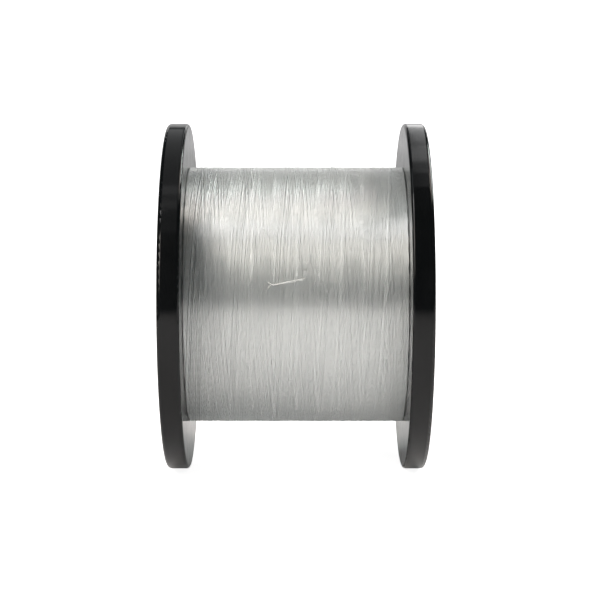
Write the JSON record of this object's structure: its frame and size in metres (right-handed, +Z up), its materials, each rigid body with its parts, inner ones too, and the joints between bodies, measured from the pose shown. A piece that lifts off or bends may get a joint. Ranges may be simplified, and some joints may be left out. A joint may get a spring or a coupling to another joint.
{
  "type": "fishing line spool",
  "caption": "Bulk spool of clear monofilament fishing line: black moulded spool with thick-rimmed flanges, a full winding and a tied-off tag end.",
  "frame": {"origin": "centre of the spool, on the bore's axis and midway between the flanges", "axes": "+X along the bore towards the right flange, +Z up as the spool stands on its rims, -Y towards the side with the line's knot"},
  "size_m": [0.07, 0.095, 0.095],
  "materials": {
    "black_plastic": "gloss moulded",
    "core_plastic": "satin moulded",
    "clear_line": "clear glossy nylon"
  },
  "bodies": {
    "root": {"left_flange": "black_plastic", "right_flange": "black_plastic", "barrel": "core_plastic", "arbor_tube": "core_plastic", "line_winding": "clear_line", "line_inner_end": "clear_line", "line_knot": "clear_line", "line_tail": "clear_line"}
  },
  "joints": []
}
